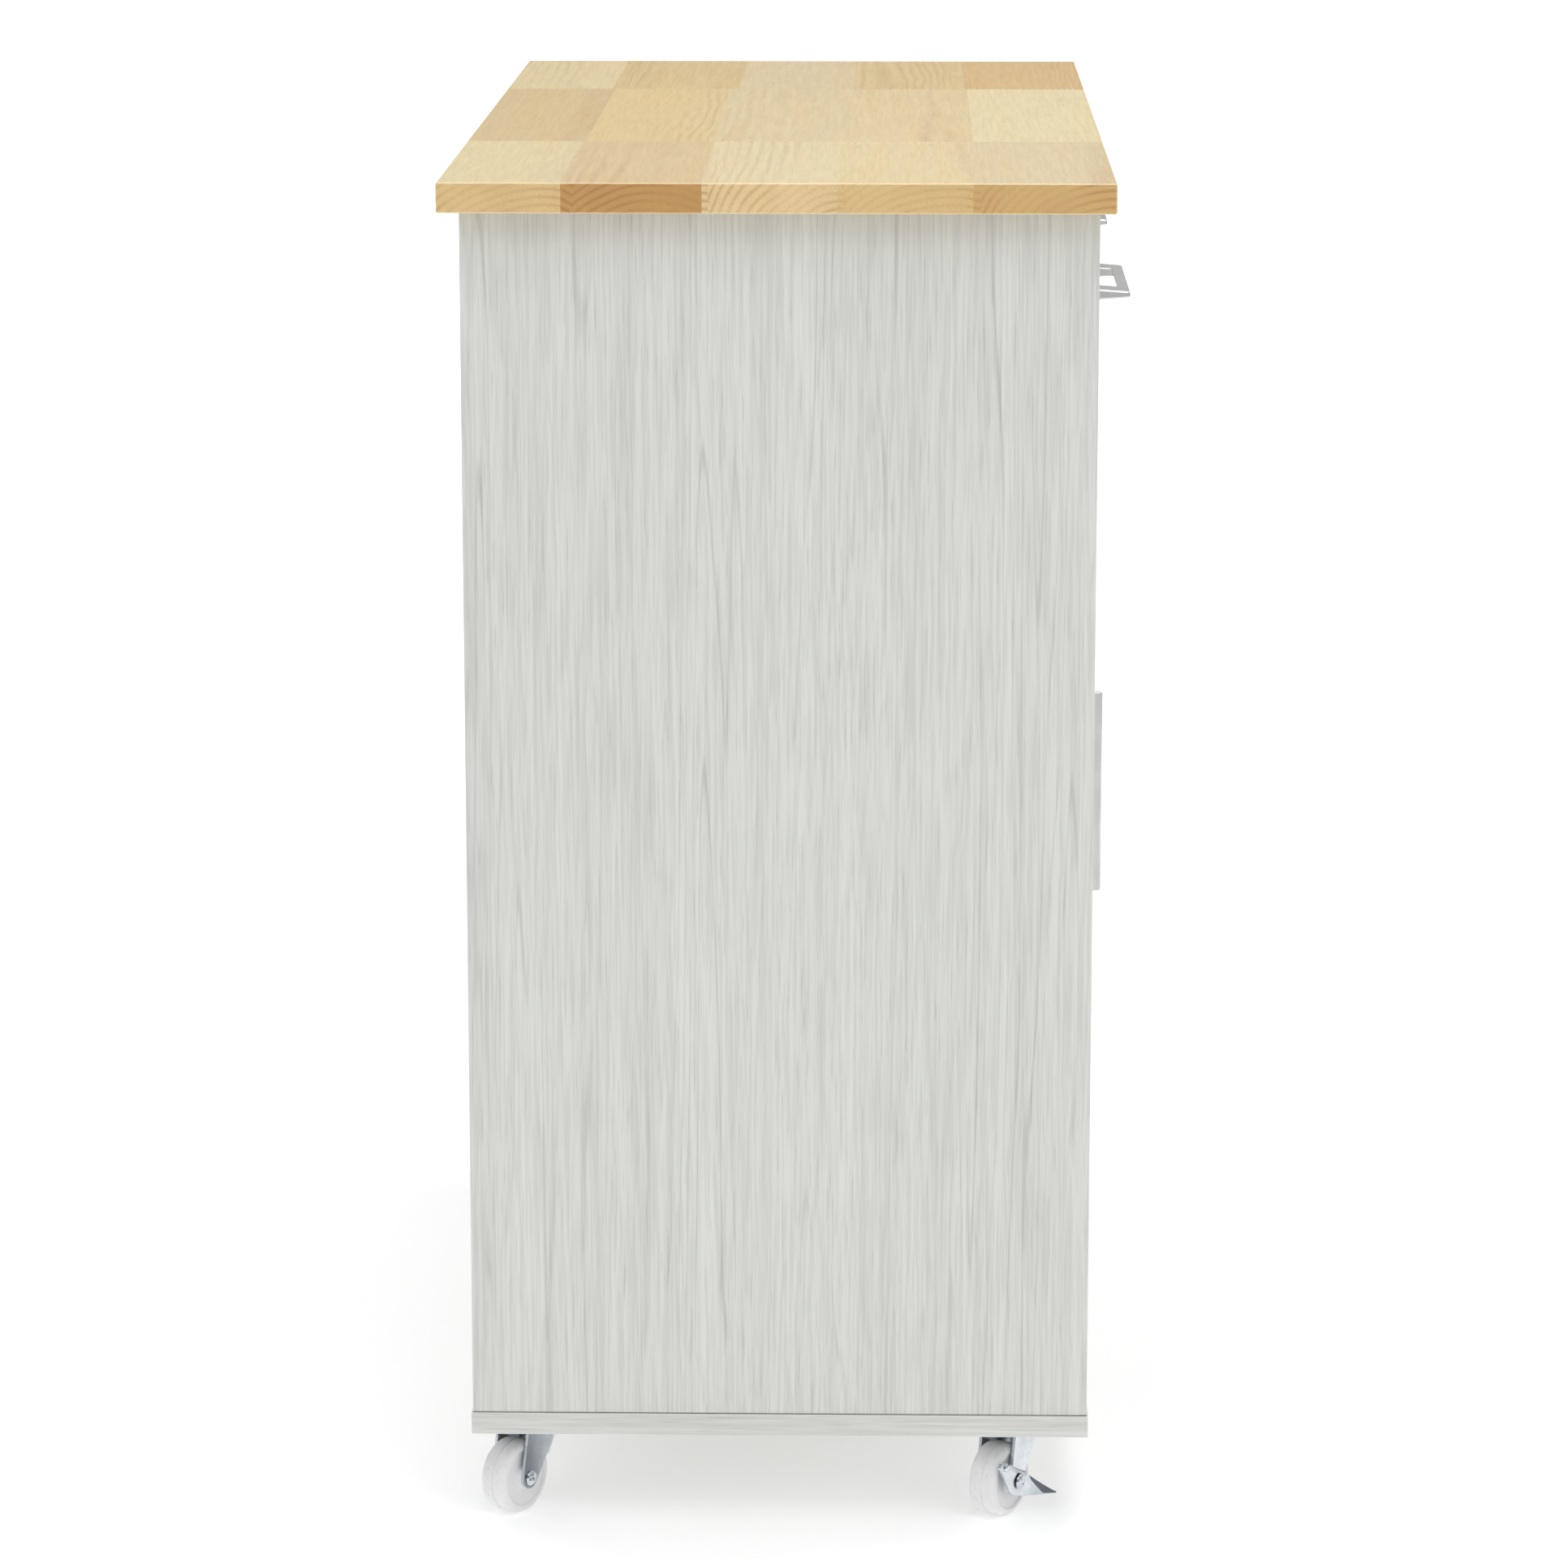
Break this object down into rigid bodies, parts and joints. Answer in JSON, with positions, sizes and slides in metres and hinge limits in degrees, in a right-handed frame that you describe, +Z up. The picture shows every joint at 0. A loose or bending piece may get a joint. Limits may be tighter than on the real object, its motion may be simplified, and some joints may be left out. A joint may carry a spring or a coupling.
{
  "type": "kitchen island cart",
  "caption": "Rolling kitchen island: butcher-block top on a pale wood-grain cabinet with drawers, an open shelf bay, a door with bar pull, and swivel casters with foot brakes.",
  "frame": {"origin": "on the floor, under the middle of the cart's overall box (worktop and pulls included)", "axes": "+X along the cart's length towards the door end, +Y towards the back panel (drawers, door and pulls face -Y), +Z up"},
  "size_m": [0.935, 0.454, 0.914],
  "materials": {
    "rubberwood": "clear-lacquered finger-jointed rubberwood staves",
    "pale_laminate": "pale grey wood-grain melamine on particleboard",
    "drawer_board": "plain pale melamine on particleboard",
    "hardboard": "painted thin fibreboard",
    "satin_metal": "satin nickel on cast zinc",
    "zinc_plate": "bright zinc-plated pressed steel",
    "runner_steel": "zinc-plated steel strip",
    "zinc_screws": "zinc-plated screws and pins",
    "wheel_plastic": "translucent pale grey moulded plastic",
    "white_plastic": "white moulded plastic"
  },
  "bodies": {
    "cabinet": {"back_panel": "pale_laminate", "base_board": "pale_laminate", "base_screws": "zinc_screws", "caster_plate_front_left": "zinc_plate", "caster_plate_front_right": "zinc_plate", "caster_plate_rear_left": "zinc_plate", "caster_plate_rear_right": "zinc_plate", "caster_screws": "zinc_screws", "centre_divider": "pale_laminate", "cupboard_shelf": "pale_laminate", "drawer_deck_left": "pale_laminate", "drawer_deck_right": "pale_laminate", "frame_hinge_leaves": "runner_steel", "front_stretcher": "drawer_board", "hinge_pins": "runner_steel", "magnetic_catch": "white_plastic", "open_bay_shelf": "pale_laminate", "rear_stretcher": "drawer_board", "shelf_pins": "zinc_screws", "side_panel_left": "pale_laminate", "side_panel_right": "pale_laminate", "slide_rails_left": "runner_steel", "slide_rails_right": "runner_steel", "worktop": "rubberwood", "worktop_screws": "zinc_screws"},
    "drawer_left": {"drawer_back_left": "drawer_board", "drawer_bottom_left": "hardboard", "drawer_front_left": "pale_laminate", "drawer_pull_left": "satin_metal", "drawer_pull_screws_left": "zinc_screws", "drawer_runners_left": "runner_steel", "drawer_sides_left": "drawer_board"},
    "drawer_right": {"drawer_back_right": "drawer_board", "drawer_bottom_right": "hardboard", "drawer_front_right": "pale_laminate", "drawer_pull_right": "satin_metal", "drawer_pull_screws_right": "zinc_screws", "drawer_runners_right": "runner_steel", "drawer_sides_right": "drawer_board"},
    "door": {"catch_strike_plate": "runner_steel", "door_hinge_leaves": "runner_steel", "door_panel": "pale_laminate", "door_pull": "satin_metal", "door_pull_screws": "zinc_screws"},
    "swivel_rear_left": {"caster_axle_rear_left": "zinc_plate", "caster_fork_rear_left": "zinc_plate"},
    "wheel_rear_left": {"caster_wheel_rear_left": "wheel_plastic"},
    "swivel_front_left": {"caster_axle_front_left": "zinc_plate", "caster_fork_front_left": "zinc_plate"},
    "wheel_front_left": {"caster_wheel_front_left": "wheel_plastic"},
    "swivel_rear_right": {"caster_axle_rear_right": "zinc_plate", "caster_fork_rear_right": "zinc_plate"},
    "wheel_rear_right": {"caster_wheel_rear_right": "wheel_plastic"},
    "swivel_front_right": {"caster_axle_front_right": "zinc_plate", "caster_fork_front_right": "zinc_plate"},
    "wheel_front_right": {"caster_wheel_front_right": "wheel_plastic"},
    "brake_front_left": {"brake_lever_front_left": "zinc_plate"},
    "brake_front_right": {"brake_lever_front_right": "zinc_plate"}
  },
  "joints": [
    {"name": "drawer_slide_left", "type": "slide", "parent": "cabinet", "child": "drawer_left", "axis": [0, -1, 0], "range_m": [0, 0.26]},
    {"name": "drawer_slide_right", "type": "slide", "parent": "cabinet", "child": "drawer_right", "axis": [0, -1, 0], "range_m": [0, 0.26]},
    {"name": "door_hinge", "type": "hinge", "parent": "cabinet", "child": "door", "pos_m": [0.4268, -0.2043, 0.406], "axis": [0, 0, 1], "range_deg": [0, 175]},
    {"name": "swivel_turn_rear_left", "type": "hinge", "parent": "cabinet", "child": "swivel_rear_left", "pos_m": [-0.398, 0.178, 0.0597], "axis": [0, 0, 1], "continuous": true},
    {"name": "wheel_spin_rear_left", "type": "hinge", "parent": "swivel_rear_left", "child": "wheel_rear_left", "pos_m": [-0.41274, 0.18832, 0.025], "axis": [-0.5736, -0.8192, 0], "continuous": true},
    {"name": "swivel_turn_front_left", "type": "hinge", "parent": "cabinet", "child": "swivel_front_left", "pos_m": [-0.398, -0.152, 0.0597], "axis": [0, 0, 1], "continuous": true},
    {"name": "wheel_spin_front_left", "type": "hinge", "parent": "swivel_front_left", "child": "wheel_front_left", "pos_m": [-0.41343, -0.14273, 0.025], "axis": [-0.515, -0.8572, 0], "continuous": true},
    {"name": "brake_lift_front_left", "type": "hinge", "parent": "swivel_front_left", "child": "brake_front_left", "pos_m": [-0.41343, -0.14273, 0.025], "axis": [-0.515, -0.8572, 0], "range_deg": [0, 22]},
    {"name": "swivel_turn_rear_right", "type": "hinge", "parent": "cabinet", "child": "swivel_rear_right", "pos_m": [0.398, 0.178, 0.0597], "axis": [0, 0, 1], "continuous": true},
    {"name": "wheel_spin_rear_right", "type": "hinge", "parent": "swivel_rear_right", "child": "wheel_rear_right", "pos_m": [0.38462, 0.19004, 0.025], "axis": [-0.6691, -0.7431, 0], "continuous": true},
    {"name": "swivel_turn_front_right", "type": "hinge", "parent": "cabinet", "child": "swivel_front_right", "pos_m": [0.398, -0.152, 0.0597], "axis": [0, 0, 1], "continuous": true},
    {"name": "wheel_spin_front_right", "type": "hinge", "parent": "swivel_front_right", "child": "wheel_front_right", "pos_m": [0.38169, -0.14439, 0.025], "axis": [-0.4226, -0.9063, 0], "continuous": true},
    {"name": "brake_lift_front_right", "type": "hinge", "parent": "swivel_front_right", "child": "brake_front_right", "pos_m": [0.38169, -0.14439, 0.025], "axis": [-0.4226, -0.9063, 0], "range_deg": [0, 22]}
  ]
}
